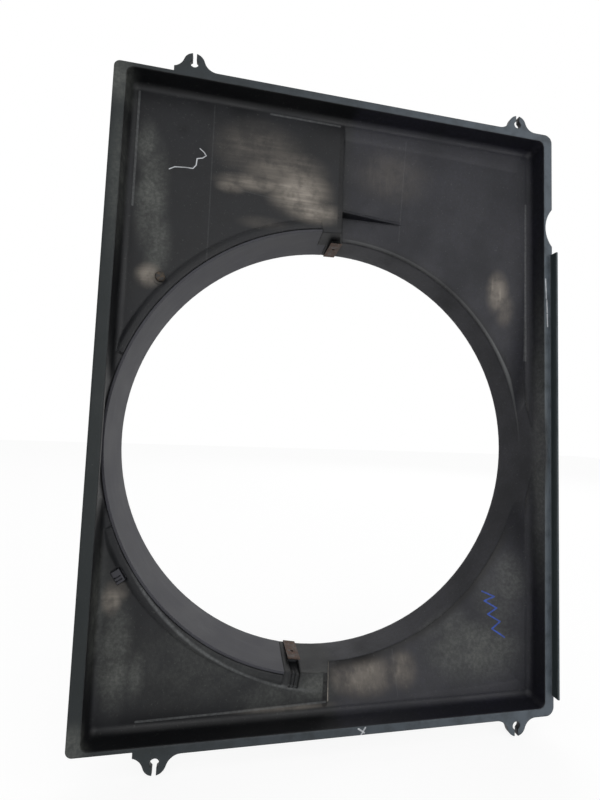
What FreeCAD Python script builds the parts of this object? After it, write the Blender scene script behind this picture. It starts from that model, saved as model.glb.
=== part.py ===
import FreeCAD, Part
import os
import Sketcher

V = FreeCAD.Vector
os.makedirs("parts", exist_ok=True)
doc = FreeCAD.newDocument("fan_shroud")

# Axes: X across the core, Z up, Y away from the radiator (fan axis).  The origin is the
# middle of the four ear holes, on the face of the flange that meets the radiator frame.

# ---------------------------------------------------------------- driving sizes
# name, size (mm, or degrees where noted), what it is
sizes = [
    ("bolt_dx", 358.3, "ear holes, spacing across"),
    ("bolt_dz", 652.6, "ear holes, spacing up"),
    ("bolt_d", 8.3, "ear hole for an M6 screw with a shouldered washer"),
    ("key_w", 3.8, "slot that opens each ear hole outwards"),
    ("lug_r", 10.3, "round of an ear about its hole"),
    ("ear_blend", 13.0, "sweep from an ear into the flange edge"),
    ("ear_trim", 3.3, "outer end of the left-hand ears, cut short"),
    ("ear_t", 5.0, "ear thickness"),
    ("ear_rise", 6.3, "ear holes outside the flange edge"),
    ("flange_w", 476.0, "flange, overall across"),
    ("flange_over", 44.2, "flange edge beyond the right-hand ear holes"),
    ("flange_t", 3.2, "flange thickness"),
    ("short_edge", 4.6, "flange edge set in beyond the left-hand ears"),
    ("corner_left", 6.0, "flange corner round, left"),
    ("corner_right", 9.0, "flange corner round, right"),
    ("rim_left", 11.5, "flange width at the left of the pan"),
    ("rim_right", 10.0, "flange width at the right of the pan"),
    ("rim_end", 8.0, "flange width at the top and bottom of the pan"),
    ("pan_depth", 21.0, "flange face to the panel"),
    ("pan_draft", 4.0, "mould draft of the pan walls, degrees"),
    ("pan_round", 7.0, "pan corner round"),
    ("pan_fillet", 6.0, "fillet where the walls meet the panel"),
    ("wall_t", 2.8, "moulding thickness"),
    ("axis_off", 0.8, "fan axis left of the middle of the flange"),
    ("axis_up", 275.6, "fan axis above the bottom flange edge"),
    ("rim_side", 14.6, "flange beyond the fan opening, each side"),
    ("duct_depth", 70.0, "flange face to the rear edge of the duct"),
    ("duct_draft", 5.5, "duct taper per side, degrees"),
    ("duct_t", 2.5, "duct wall"),
    ("step_h", 18.0, "height of the step at the duct, flat panel to funnel"),
    ("step_off", 2.8, "step between flat panel and funnel, left of the fan axis"),
    ("step_lean", 5.0, "lean of the step face"),
    ("lap", 0.8, "overlap of one cut into the next, so their edges cross cleanly"),
    ("rib_over", 30.3, "gusset above the fan opening"),
    ("rib_len", 74.0, "gusset length along the funnel"),
    ("rib_t", 2.6, "gusset thickness"),
    ("bead_w", 10.0, "raised bead round the half-ring opening"),
    ("bead_h", 2.2, "height of that bead"),
    ("lip_h", 8.3, "air lip along the right-hand flange edge"),
    ("lip_t", 2.0, "air lip thickness"),
    ("lip_drop", 141.5, "upper end of the air lip, below the top flange edge"),
    ("lip_rise", 20.5, "lower end of the air lip, above the bottom flange edge"),
    ("notch_r", 33.0, "round of the hose notch in the right-hand edge"),
    ("notch_drop", 110.0, "hose notch, below the top flange edge"),
    ("notch_in", 8.2, "depth of the hose notch"),
    ("gap", 0.4, "clearance between separate pieces"),
    ("joint_up", 6.1, "half ring, upper end past vertical, degrees"),
    ("joint_tab", 2.5, "how far the upper end steps on near the rear edge, degrees"),
    ("joint_low", 168.0, "half ring, lower end, degrees"),
    ("tab_back", 22.0, "rear edge to the step in the upper end"),
    ("ring_proud", 1.2, "front edge of the half ring, proud of the panel"),
    ("ring_rim_w", 5.6, "bearing rim of the half ring behind the panel"),
    ("ring_rim_t", 2.8, "thickness of the bearing rim and lugs"),
    ("tongue_deg", 7.4, "tongue of the half ring past its joint, degrees"),
    ("tongue_root", 2.2, "tongue root before the joint, degrees"),
    ("tongue_behind", 0.6, "front of a tongue behind the step in the upper end"),
    ("clip_w", 13.0, "spring clip width"),
    ("clip_t", 0.9, "spring clip steel"),
    ("clip_leg", 34.5, "spring clip, leg inside the duct"),
    ("clip_back", 18.0, "spring clip, leg outside the duct"),
    ("clip_hole", 3.4, "hole in the leg inside the duct"),
    ("clip_hole_up", 20.0, "that hole above the rear edge"),
    ("clip_up", 1.1, "upper clip, left of vertical, degrees"),
    ("clip_low", 170.9, "lower clip, degrees"),
    ("slit_w", 8.5, "slit in the duct behind the upper clip"),
    ("slit_past", 3.7, "that slit, past the end of the clip"),
    ("slit_h", 2.4, "height of that slit"),
    ("slot_w", 10.4, "clip slot in the duct at the lower clip"),
    ("slot_deep", 20.0, "panel to the end of the clip slot"),
    ("slot_out", 15.0, "reach of the clip slot into the panel"),
    ("slot_rib", 1.4, "the two ribs in the clip slot"),
    ("rivet_deg", 139.4, "push rivet, from the X axis, degrees"),
    ("rivet_over", 22.5, "push rivet beyond the fan opening"),
    ("rivet_d", 6.0, "push rivet shank"),
    ("rivet_head_d", 9.6, "push rivet head"),
    ("rivet_head", 3.9, "push rivet head height"),
    ("pad_d", 14.0, "seat round the push rivet"),
    ("pad_h", 0.9, "height of that seat"),
    ("latch_deg", 211.5, "latch window, from the X axis, degrees"),
    ("latch_over", 19.6, "latch window beyond the fan opening"),
    ("latch_r", 11.0, "latch window, across"),
    ("latch_l", 13.5, "latch window, along"),
    ("hook_in", 2.4, "dark gap beside the latch tongue"),
    ("hook_up", 1.4, "latch tongue above the panel"),
    ("tooth_w", 1.3, "groove between two teeth of the latch tongue"),
    ("lug_out", 9.0, "lug beyond its rivet or latch"),
    ("lug_half", 11.5, "half the width of a lug"),
]

# ---------------------------------------------------------------- worked-out sizes
relations = [
    ("hole_x", "=bolt_dx / 2"),
    ("hole_z", "=bolt_dz / 2"),
    ("bolt_r", "=bolt_d / 2"),
    ("key_x0", "=hole_x - key_w / 2"),
    ("key_x1", "=hole_x + key_w / 2"),
    ("key_top", "=hole_z + lug_r + 2"),
    ("edge_r", "=hole_x + flange_over"),
    ("edge_l", "=edge_r - flange_w"),
    ("edge_z", "=hole_z - ear_rise"),
    ("short_z", "=edge_z - short_edge"),
    ("ear_foot", "=sqrt((lug_r + ear_blend) ^ 2 - (ear_blend - ear_rise) ^ 2)"),
    ("ear_share", "=lug_r / (lug_r + ear_blend)"),
    ("foot_x0", "=hole_x - ear_foot"),
    ("foot_x1", "=hole_x + ear_foot"),
    ("waist_x0", "=hole_x - ear_foot * ear_share"),
    ("waist_x1", "=hole_x + ear_foot * ear_share"),
    ("waist_z", "=hole_z + (ear_blend - ear_rise) * ear_share"),
    ("ear_root", "=edge_z - rim_end / 2"),
    ("blend_z", "=edge_z + ear_blend"),
    ("step_edge", "=ear_trim - foot_x1"),
    ("trim_x", "=-foot_x1 - 1"),
    ("trim_z", "=blend_z"),
    # fan axis, opening and depths
    ("axis_x", "=(edge_l + edge_r) / 2 - axis_off"),
    ("axis_z", "=axis_up - edge_z"),
    ("rim_r", "=flange_w / 2 - rim_side"),
    ("funnel_depth", "=pan_depth + step_h"),
    ("tab_depth", "=duct_depth - tab_back"),
    ("ring_front", "=pan_depth - ring_proud"),
    # pan, inside faces at the flange and at the panel
    ("in_l", "=edge_l + rim_left"),
    ("in_r", "=edge_r - rim_right"),
    ("in_t", "=edge_z - rim_end"),
    ("in_b", "=-in_t"),
    ("lean", "=pan_depth * tan(pan_draft * 1 deg)"),
    ("base_l", "=in_l + lean"),
    ("base_r", "=in_r - lean"),
    ("base_t", "=in_t - lean"),
    ("base_b", "=-base_t"),
    ("back", "=pan_depth + wall_t"),
    ("out_l", "=in_l - wall_t"),
    ("out_r", "=in_r + wall_t"),
    ("out_t", "=in_t + wall_t"),
    ("out_b", "=-out_t"),
    ("lean_out", "=back * tan(pan_draft * 1 deg)"),
    ("outb_l", "=out_l + lean_out"),
    ("outb_r", "=out_r - lean_out"),
    ("outb_t", "=out_t - lean_out"),
    ("outb_b", "=-outb_t"),
    ("round_out", "=pan_round + wall_t"),
    # duct cone
    ("taper", "=tan(duct_draft * 1 deg)"),
    ("r_face", "=rim_r + duct_depth * taper"),
    ("r_root", "=rim_r + (duct_depth - flange_t / 2) * taper"),
    ("r_front", "=rim_r + (duct_depth - ring_front) * taper"),
    ("r_pan", "=rim_r + (duct_depth - pan_depth) * taper"),
    ("r_funnel", "=rim_r + (duct_depth - funnel_depth) * taper"),
    ("r_funnel_in", "=r_funnel - lap"),
    ("r_tab", "=rim_r + (duct_depth - tab_depth) * taper"),
    ("tongue_front", "=max(tab_depth + tongue_behind; pan_depth + step_h + wall_t + gap)"),
    ("r_tongue", "=rim_r + (duct_depth - tongue_front) * taper"),
    ("root_y", "=flange_t / 2"),
    ("r_root_out", "=r_root + duct_t"),
    ("r_rim_out", "=rim_r + duct_t"),
    ("r_front_out", "=r_front + duct_t"),
    ("r_tab_out", "=r_tab + duct_t"),
    ("past_rim", "=duct_depth + 1"),
    ("r_past", "=rim_r - taper"),
    ("before_face", "=-1"),
    ("r_before", "=r_face + taper"),
    ("bore_in", "=rim_r * 0.6"),
    # opening for the half ring
    ("open_r", "=r_front_out + gap"),
    ("open_out", "=open_r + duct_t"),
    ("bead_out", "=open_r + bead_w"),
    ("bead_top", "=pan_depth - bead_h"),
    ("bead_in1", "=open_r + bead_w * 0.22"),
    ("bead_in2", "=open_r + bead_w * 0.6"),
    ("bead_side", "=pan_depth - bead_h * 0.35"),
    ("bead_foot", "=pan_depth + wall_t / 2"),
    ("open_end", "=duct_depth + 2"),
    # funnel
    ("step_x", "=axis_x - step_off"),
    ("step_low", "=step_x + step_lean"),
    ("fun_r", "=base_r - pan_fillet"),
    ("fun_t", "=base_t - pan_fillet"),
    ("fun_b", "=-fun_t"),
    ("stepo_x", "=step_x - wall_t"),
    ("stepo_low", "=step_low - wall_t"),
    ("funo_t", "=fun_t + wall_t"),
    ("funo_b", "=-funo_t"),
    ("funo_r", "=fun_r + wall_t"),
    ("funnel_top", "=pan_depth - 0.01"),
    ("funnel_back", "=funnel_depth + wall_t"),
    ("r_fun_out", "=r_funnel + wall_t"),
    ("rise_tr", "=(fun_t - axis_z) / sqrt((fun_r - axis_x) ^ 2 + (fun_t - axis_z) ^ 2)"),
    ("run_tr", "=(fun_r - axis_x) / sqrt((fun_r - axis_x) ^ 2 + (fun_t - axis_z) ^ 2)"),
    ("run_br", "=(fun_r - axis_x) / sqrt((fun_r - axis_x) ^ 2 + (fun_b - axis_z) ^ 2)"),
    ("arc_b_x", "=axis_x + r_funnel_in * run_tr"),
    ("arc_c_x", "=axis_x + r_funnel_in * run_br"),
    ("arco_b_x", "=axis_x + r_fun_out * run_tr"),
    ("arco_c_x", "=axis_x + r_fun_out * run_br"),
    # gusset
    ("rib_z", "=axis_z + rim_r + rib_over"),
    ("rib_x0", "=step_x - wall_t / 2"),
    ("rib_x1", "=step_x + rib_len"),
    ("rib_arc", "=axis_z + sqrt(r_funnel ^ 2 - (rib_x1 - axis_x) ^ 2)"),
    ("rib_top", "=axis_z + r_funnel"),
    ("rib_y0", "=pan_depth + (funnel_depth - pan_depth) * (fun_t - rib_z) / (fun_t - rib_top)"),
    ("rib_y1", "=pan_depth + (funnel_depth - pan_depth) * (fun_t - rib_z) / (fun_t - rib_arc)"),
    ("rib_b0", "=rib_y0 + wall_t / 2"),
    ("rib_b1", "=rib_y1 + wall_t / 2"),
    # air lip and notch
    ("lip_x", "=edge_r - lip_t"),
    ("lip_len", "=lip_h + flange_t / 2"),
    ("lip_back", "=flange_t / 2"),
    ("lip_top", "=edge_z - lip_drop"),
    ("lip_low", "=lip_rise - edge_z"),
    ("notch_x", "=edge_r - notch_in + notch_r"),
    ("notch_z", "=edge_z - notch_drop"),
    # joints of the half ring, measured from straight up towards +X
    ("play", "=gap / rim_r * 180 / pi"),
    ("near_a", "=-joint_low"),
    ("near_b", "=-joint_up"),
    ("tab_b", "=-(joint_up - joint_tab)"),
    ("ring_near_mid", "=(near_a + near_b) / 2"),
    ("ring_near_deg", "=near_b - near_a"),
    ("ring_tab_mid", "=(near_a + tab_b) / 2"),
    ("ring_tab_deg", "=tab_b - near_a"),
    ("duct_near_mid", "=(near_a + near_b) / 2 + 180"),
    ("duct_near_deg", "=360 - ring_near_deg - 2 * play"),
    ("duct_tab_mid", "=(near_a + tab_b) / 2 + 180"),
    ("duct_tab_deg", "=360 - ring_tab_deg - 2 * play"),
    ("open_deg", "=ring_near_deg + 2 * play"),
    ("open_tab_deg", "=ring_tab_deg + 2 * play"),
    ("mid_y", "=tab_depth"),
    # bead: from each joint to where the pan wall takes over
    ("side_cos", "=min((axis_x - base_l + wall_t / 2) / bead_out; 1)"),
    ("side_deg", "=asin(side_cos) / 1 deg"),
    ("bead_up_mid", "=-(joint_up + side_deg) / 2"),
    ("bead_up_deg", "=side_deg - joint_up"),
    ("bead_low_mid", "=-(180 - side_deg + joint_low) / 2"),
    ("bead_low_deg", "=joint_low - 180 + side_deg"),
    # half ring
    ("rim_y0", "=back + gap"),
    ("rim_y1", "=rim_y0 + ring_rim_t"),
    ("rim_in", "=open_r - duct_t"),
    ("rim_out", "=open_r + ring_rim_w"),
    ("tongue_in", "=duct_t + gap"),
    ("tongue_out", "=2 * duct_t + gap"),
    ("t_rim_in", "=rim_r + tongue_in"),
    ("t_rim_out", "=rim_r + tongue_out"),
    ("t_front_in", "=r_tongue + tongue_in"),
    ("t_front_out", "=r_tongue + tongue_out"),
    ("b_rim_in", "=rim_r + duct_t / 2"),
    ("b_front_in", "=r_tongue + duct_t / 2"),
    ("tu_mid", "=(tab_b - tongue_root + tab_b + tongue_deg) / 2"),
    ("tu_deg", "=tongue_root + tongue_deg"),
    ("tl_mid", "=(near_a + tongue_root + near_a - tongue_deg) / 2"),
    ("bu_mid", "=tab_b - tongue_root / 2"),
    ("bl_mid", "=near_a + tongue_root / 2"),
    # spring clips, drawn in the plane of their own angle
    ("c_end", "=duct_depth - clip_leg"),
    ("c_back", "=duct_depth - clip_back"),
    ("c_y0", "=duct_depth + gap"),
    ("c_y1", "=duct_depth + gap + clip_t"),
    ("c_in", "=rim_r - gap"),
    ("c_inn", "=c_in - clip_t"),
    ("c_out_rim", "=t_rim_out + gap"),
    ("c_out_end", "=rim_r + clip_back * taper + tongue_out + gap"),
    ("c_outt_rim", "=c_out_rim + clip_t"),
    ("c_outt_end", "=c_out_end + clip_t"),
    ("c_hole_y", "=duct_depth - clip_hole_up"),
    ("c_hole_r", "=clip_hole / 2"),
    ("c_hole_end", "=rim_r + gap + 1"),
    ("clip_up_deg", "=-clip_up"),
    ("clip_low_deg", "=-clip_low"),
    # slit and slot beside the clips, from the X axis
    ("slit_deg", "=90 + clip_up"),
    ("slit_front", "=c_end + slit_past"),
    ("slit_half", "=slit_w / 2"),
    ("slit_in", "=rim_r - 4"),
    ("slit_out", "=rim_r + 7"),
    ("slot_deg", "=90 + clip_low"),
    ("slot_half", "=slot_w / 2"),
    ("slot_in", "=rim_r - 4"),
    ("slot_far", "=r_pan + slot_out"),
    ("slot_end", "=pan_depth + slot_deep"),
    ("slot_y0", "=pan_depth - bead_h - 1"),
    ("slot_len", "=slot_end - slot_y0"),
    ("slot_r0", "=r_pan + duct_t * 0.5"),
    ("slot_r1", "=r_pan + slot_out + 1"),
    ("slot_a", "=slot_w * 0.1"),
    ("slot_b", "=slot_w * 0.1 + slot_rib"),
    ("slot_rib_y", "=pan_depth + 1"),
    ("slot_rib_len", "=slot_end - pan_depth"),
    # push rivet
    ("rivet_at", "=rim_r + rivet_over"),
    ("rivet_x", "=axis_x + rivet_at * cos(rivet_deg * 1 deg)"),
    ("rivet_z", "=axis_z + rivet_at * sin(rivet_deg * 1 deg)"),
    ("rivet_r", "=rivet_d / 2"),
    ("rivet_head_r", "=rivet_head_d / 2"),
    ("rivet_dome", "=rivet_head_d / 2 - 1.2"),
    ("rivet_hole_r", "=rivet_r + gap"),
    ("pad_r", "=pad_d / 2"),
    ("pad_y", "=pan_depth - pad_h"),
    ("pad_len", "=pad_h + wall_t / 2"),
    ("rv_under", "=pad_y - gap"),
    ("rv_edge", "=rv_under - rivet_head + 1.2"),
    ("rv_top", "=rv_under - rivet_head"),
    ("rv_tip", "=rim_y1 + 2.4"),
    ("rv_end", "=rim_y1 + 3.6"),
    ("rv_point", "=rivet_r * 0.6"),
    # latch
    ("latch_at", "=rim_r + latch_over"),
    ("latch_r0", "=latch_at - latch_r / 2"),
    ("latch_r1", "=latch_at + latch_r / 2"),
    ("latch_half", "=latch_l / 2"),
    ("hook_r0", "=latch_r0 + hook_in"),
    ("hook_r1", "=latch_r1 - gap - 0.2"),
    ("hook_half", "=latch_half - gap - 0.2"),
    ("hook_y", "=pan_depth - hook_up"),
    ("hook_len", "=rim_y0 - hook_y + ring_rim_t / 2"),
    ("tooth_half", "=tooth_w / 2"),
    ("tooth_r1", "=hook_r1 + 1"),
    ("tooth_r0", "=hook_r0 + 1.6"),
    ("tooth_cut", "=hook_up + 1"),
    ("tooth_span", "=hook_half * 1.1"),
    ("lug_in", "=open_r - duct_t"),
    ("lug_a", "=rivet_at + lug_out"),
    ("lug_b", "=latch_r1 + lug_out / 2"),
]

sheet = doc.addObject("Spreadsheet::Sheet", "Sizes")
row = 1
for name, size, note in sizes:
    sheet.set("A%d" % row, name)
    sheet.set("B%d" % row, str(size))
    sheet.set("C%d" % row, note)
    sheet.setAlias("B%d" % row, name)
    row += 1
doc.recompute()
for name, rule in relations:
    sheet.set("A%d" % row, name)
    sheet.set("B%d" % row, rule)
    sheet.setAlias("B%d" % row, name)
    row += 1
doc.recompute()


def size(name):
    """Value of a sheet cell; a leading minus turns the sign, "0" is the axis itself."""
    if name == "0":
        return 0.0
    if name.startswith("-"):
        return -size(name[1:])
    return float(sheet.get(name))


def cell(name):
    """The same cell as an expression."""
    return "-Sizes." + name[1:] if name.startswith("-") else "Sizes." + name


# ---------------------------------------------------------------- sketch helpers
def start_body(label):
    body = doc.addObject("PartDesign::Body", label)
    body.Label = label
    return body


def plane_of(body, role):
    return [f for f in body.Origin.OriginFeatures if f.Role == role][0]


def sketch(body, name, role, shift=("0", "0", "0"), turn=None, about=V(0, 0, 1)):
    """Sketch on an origin plane, moved by sheet cells and turned by a sheet angle."""
    sk = body.newObject("Sketcher::SketchObject", name)
    sk.AttachmentSupport = [(plane_of(body, role), "")]
    sk.MapMode = "FlatFace"
    angle = size(turn) if turn else 0.0
    base = V(size(shift[0]), size(shift[1]), size(shift[2]))
    sk.AttachmentOffset = FreeCAD.Placement(base, FreeCAD.Rotation(about, angle))
    for axis, word in zip("xyz", shift):
        if word != "0":
            sk.setExpression("AttachmentOffset.Base." + axis, cell(word))
    if turn:
        sk.setExpression("AttachmentOffset.Rotation.Angle", cell(turn) + " * 1 deg")
    return sk


def face_sketch(body, name, depth="0"):
    """Sketch parallel to the flange face; its axes are X and Z."""
    return sketch(body, name, "XZ_Plane", ("0", "0", "-" + depth if depth != "0" else "0"))


def polar_sketch(body, name, depth, turn):
    """Sketch parallel to the flange, origin on the fan axis, first axis radial."""
    return sketch(body, name, "XZ_Plane", ("axis_x", "axis_z", "-" + depth), turn)


def axis_sketch(body, name, turn=None):
    """Sketch through the fan axis: first axis is depth, second is radius."""
    return sketch(body, name, "YZ_Plane", ("0", "axis_z", "axis_x"), turn, V(1, 0, 0))


def place(sk, index, point, x, y):
    """Fix one point of a sketch at two sheet cells."""
    tag = "p%d_%d" % (index, point)
    for kind, word, axis in (("DistanceX", x, -2), ("DistanceY", y, -1)):
        if word == "0":
            sk.addConstraint(Sketcher.Constraint("PointOnObject", index, point, axis))
        else:
            number = sk.addConstraint(
                Sketcher.Constraint(kind, -1, 1, index, point, size(word)))
            label = tag + ("x" if kind == "DistanceX" else "y")
            sk.renameConstraint(number, label)
            sk.setExpression("Constraints." + label, cell(word))


def polygon(sk, corners):
    first = sk.GeometryCount
    total = len(corners)
    points = [V(size(x), size(y), 0) for x, y in corners]
    for i in range(total):
        sk.addGeometry(Part.LineSegment(points[i], points[(i + 1) % total]), False)
    for i in range(total):
        sk.addConstraint(Sketcher.Constraint(
            "Coincident", first + i, 2, first + (i + 1) % total, 1))
    for i, (x, y) in enumerate(corners):
        place(sk, first + i, 1, x, y)
    return sk


def box(sk, x0, x1, y0, y1):
    return polygon(sk, [(x0, y0), (x1, y0), (x1, y1), (x0, y1)])


def circle(sk, x, y, r):
    index = sk.addGeometry(Part.Circle(V(size(x), size(y), 0), V(0, 0, 1), size(r)), False)
    place(sk, index, 3, x, y)
    number = sk.addConstraint(Sketcher.Constraint("Radius", index, size(r)))
    sk.renameConstraint(number, "r%d" % index)
    sk.setExpression("Constraints.r%d" % index, cell(r))
    return sk


def rounded_box(sk, x0, x1, y0, y1, r):
    """Rectangle with equal corner rounds; every side sits at its own sheet cell."""
    a, b, c, d, q = size(x0), size(x1), size(y0), size(y1), size(r)
    turn = 1.5707963267948966
    lines = [((a + q, c), (b - q, c)), ((b, c + q), (b, d - q)),
             ((b - q, d), (a + q, d)), ((a, d - q), (a, c + q))]
    centres = [(b - q, c + q, 3), (b - q, d - q, 0), (a + q, d - q, 1), (a + q, c + q, 2)]
    for start, end in lines:
        sk.addGeometry(Part.LineSegment(V(start[0], start[1], 0), V(end[0], end[1], 0)), False)
    for x, y, quarter in centres:
        ring = Part.Circle(V(x, y, 0), V(0, 0, 1), q)
        sk.addGeometry(Part.ArcOfCircle(ring, quarter * turn, (quarter + 1) * turn), False)
    for i in range(4):
        sk.addConstraint(Sketcher.Constraint("Tangent", i, 2, 4 + i, 1))
        sk.addConstraint(Sketcher.Constraint("Tangent", 4 + i, 2, (i + 1) % 4, 1))
    sk.addConstraint(Sketcher.Constraint("Horizontal", 0))
    sk.addConstraint(Sketcher.Constraint("Vertical", 1))
    sk.addConstraint(Sketcher.Constraint("Horizontal", 2))
    sk.addConstraint(Sketcher.Constraint("Vertical", 3))
    for i in (5, 6, 7):
        sk.addConstraint(Sketcher.Constraint("Equal", 4, i))
    pairs = [("DistanceY", 0, y0), ("DistanceX", 1, x1), ("DistanceY", 2, y1),
             ("DistanceX", 3, x0)]
    for kind, line, word in pairs:
        number = sk.addConstraint(Sketcher.Constraint(kind, -1, 1, line, 1, size(word)))
        sk.renameConstraint(number, "side%d" % line)
        sk.setExpression("Constraints.side%d" % line, cell(word))
    number = sk.addConstraint(Sketcher.Constraint("Radius", 4, q))
    sk.renameConstraint(number, "corner")
    sk.setExpression("Constraints.corner", cell(r))
    return sk


# ---------------------------------------------------------------- feature helpers
def pad(body, sk, name, length, forward=False, middle=False):
    """Grow a sketch by a sheet length, away from the radiator unless forward."""
    feature = body.newObject("PartDesign::Pad", name)
    feature.Profile = sk
    feature.Length = size(length)
    feature.setExpression("Length", cell(length))
    feature.Reversed = not forward and not middle
    feature.Midplane = middle
    sk.Visibility = False
    body.Tip = feature
    return feature


def pocket(body, sk, name, length=None):
    """Cut away from the radiator: by a sheet length, or through everything."""
    feature = body.newObject("PartDesign::Pocket", name)
    feature.Profile = sk
    if length:
        feature.Length = size(length)
        feature.setExpression("Length", cell(length))
    else:
        feature.Type = 1
    body.Tip = feature
    return feature


def loft(body, name, first, second, cut=False):
    kind = "PartDesign::SubtractiveLoft" if cut else "PartDesign::AdditiveLoft"
    feature = body.newObject(kind, name)
    feature.Profile = first
    feature.Sections = [second]
    feature.Ruled = True
    body.Tip = feature
    return feature


def spin(body, sk, name, sweep=None, cut=False):
    """Turn a sketch about the fan axis, half the sweep to each side of its plane."""
    kind = "PartDesign::Groove" if cut else "PartDesign::Revolution"
    feature = body.newObject(kind, name)
    feature.Profile = sk
    feature.ReferenceAxis = (sk, ["H_Axis"])
    if sweep:
        feature.Angle = size(sweep)
        feature.setExpression("Angle", cell(sweep) + " * 1 deg")
        feature.Midplane = True
    else:
        feature.Angle = 360
    body.Tip = feature
    return feature


def round_edges(body, name, radius, wanted):
    """Fillet the edges of the tip whose two ends and middle all pass a test."""
    doc.recompute()
    base = body.Tip
    names = []
    for i, edge in enumerate(base.Shape.Edges):
        ends = [v.Point for v in edge.Vertexes]
        middle = edge.valueAt((edge.FirstParameter + edge.LastParameter) / 2)
        if len(ends) == 2 and wanted(ends[0], ends[1], middle):
            names.append("Edge%d" % (i + 1))
    feature = body.newObject("PartDesign::Fillet", name)
    feature.Base = (base, names)
    feature.Radius = size(radius)
    feature.setExpression("Radius", cell(radius))
    body.Tip = feature
    return feature


# ================================================================ shroud body
body = start_body("shroud_body")

sk = face_sketch(body, "flange_outline")
polygon(sk, [("edge_l", "-short_z"), ("step_edge", "-short_z"), ("step_edge", "-edge_z"),
             ("edge_r", "-edge_z"), ("edge_r", "edge_z"), ("step_edge", "edge_z"),
             ("step_edge", "short_z"), ("edge_l", "short_z")])
pad(body, sk, "flange", "flange_t")
left, right = size("edge_l"), size("edge_r")
round_edges(body, "corners_left", "corner_left",
            lambda a, b, m: abs(a.x - left) < 0.01 and abs(b.x - left) < 0.01
            and abs(a.z - b.z) < 0.01)
round_edges(body, "corners_right", "corner_right",
            lambda a, b, m: abs(a.x - right) < 0.01 and abs(b.x - right) < 0.01
            and abs(a.z - b.z) < 0.01)

# outside of the pan, funnel and ducts first, then the hollow is cut from them
front = rounded_box(face_sketch(body, "pan_out_front"),
                    "out_l", "out_r", "out_b", "out_t", "round_out")
rear = rounded_box(face_sketch(body, "pan_out_back", "back"),
                   "outb_l", "outb_r", "outb_b", "outb_t", "round_out")
loft(body, "pan_outside", front, rear)


def funnel_outline(sk, x, b, t, r):
    return polygon(sk, [(x, t), (x, b), (r, b), (r, t)])


def funnel_ring(sk, x, r, b_x, c_x):
    """Three arcs of the duct circle, closed by the line of the step."""
    cx, cz, q = size("axis_x"), size("axis_z"), size(r)
    ring = Part.Circle(V(cx, cz, 0), V(0, 0, 1), q)

    def angle(word, side):
        run = size(word) - cx
        rise = side * (q * q - run * run) ** 0.5
        return ring.parameter(V(cx + run, cz + rise, 0))
    lowest, highest = angle(x, -1), angle(x, 1)
    c, b = angle(c_x, -1), angle(b_x, 1)
    full = 6.283185307179586
    stops = [(lowest, c), (c, b + full if b < c else b), (b, highest)]
    start = ring.value(highest)
    end = ring.value(lowest)
    sk.addGeometry(Part.LineSegment(start, end), False)
    for u, v in stops:
        sk.addGeometry(Part.ArcOfCircle(ring, u, v), False)
    sk.addConstraint(Sketcher.Constraint("Coincident", 0, 2, 1, 1))
    sk.addConstraint(Sketcher.Constraint("Tangent", 1, 2, 2, 1))
    sk.addConstraint(Sketcher.Constraint("Tangent", 2, 2, 3, 1))
    sk.addConstraint(Sketcher.Constraint("Coincident", 3, 2, 0, 1))
    sk.addConstraint(Sketcher.Constraint("Equal", 1, 2))
    sk.addConstraint(Sketcher.Constraint("Equal", 2, 3))
    place(sk, 1, 3, "axis_x", "axis_z")
    number = sk.addConstraint(Sketcher.Constraint("Radius", 1, q))
    sk.renameConstraint(number, "ring")
    sk.setExpression("Constraints.ring", cell(r))
    for index, point, word in ((0, 1, x), (0, 2, x), (1, 2, c_x), (2, 2, b_x)):
        number = sk.addConstraint(
            Sketcher.Constraint("DistanceX", -1, 1, index, point, size(word)))
        label = "across%d_%d" % (index, point)
        sk.renameConstraint(number, label)
        sk.setExpression("Constraints." + label, cell(word))
    return sk


front = funnel_outline(face_sketch(body, "funnel_out_front", "pan_depth"),
                       "stepo_x", "funo_b", "funo_t", "funo_r")
rear = funnel_ring(face_sketch(body, "funnel_out_back", "funnel_back"),
                   "stepo_low", "r_fun_out", "arco_b_x", "arco_c_x")
loft(body, "funnel_outside", front, rear)

# the duct half that is moulded with the body; its upper end is stepped for the half ring
sk = axis_sketch(body, "duct_near_section", "duct_near_mid")
polygon(sk, [("root_y", "r_root"), ("root_y", "r_root_out"), ("mid_y", "r_tab_out"),
             ("mid_y", "r_tab")])
spin(body, sk, "duct_near", "duct_near_deg")
sk = axis_sketch(body, "duct_far_section", "duct_tab_mid")
polygon(sk, [("mid_y", "r_tab"), ("mid_y", "r_tab_out"), ("duct_depth", "r_rim_out"),
             ("duct_depth", "rim_r")])
spin(body, sk, "duct_far", "duct_tab_deg")

# where the half ring passes the left wall, the wall swells out under the flange
sk = axis_sketch(body, "swell_section", "ring_near_mid")
polygon(sk, [("root_y", "rim_in"), ("root_y", "open_out"), ("back", "open_out"),
             ("back", "rim_in")])
spin(body, sk, "swell", "ring_near_deg")

front = rounded_box(face_sketch(body, "pan_in_front"),
                    "in_l", "in_r", "in_b", "in_t", "pan_round")
rear = rounded_box(face_sketch(body, "pan_in_back", "pan_depth"),
                   "base_l", "base_r", "base_b", "base_t", "pan_round")
loft(body, "pan_hollow", front, rear, cut=True)
deep = size("pan_depth")
round_edges(body, "pan_base", "pan_fillet",
            lambda a, b, m: max(abs(a.y - deep), abs(b.y - deep), abs(m.y - deep)) < 0.01)

front = funnel_outline(face_sketch(body, "funnel_in_front", "funnel_top"),
                       "step_x", "fun_b", "fun_t", "fun_r")
rear = funnel_ring(face_sketch(body, "funnel_in_back", "funnel_depth"),
                   "step_low", "r_funnel_in", "arc_b_x", "arc_c_x")
loft(body, "funnel_hollow", front, rear, cut=True)

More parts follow.
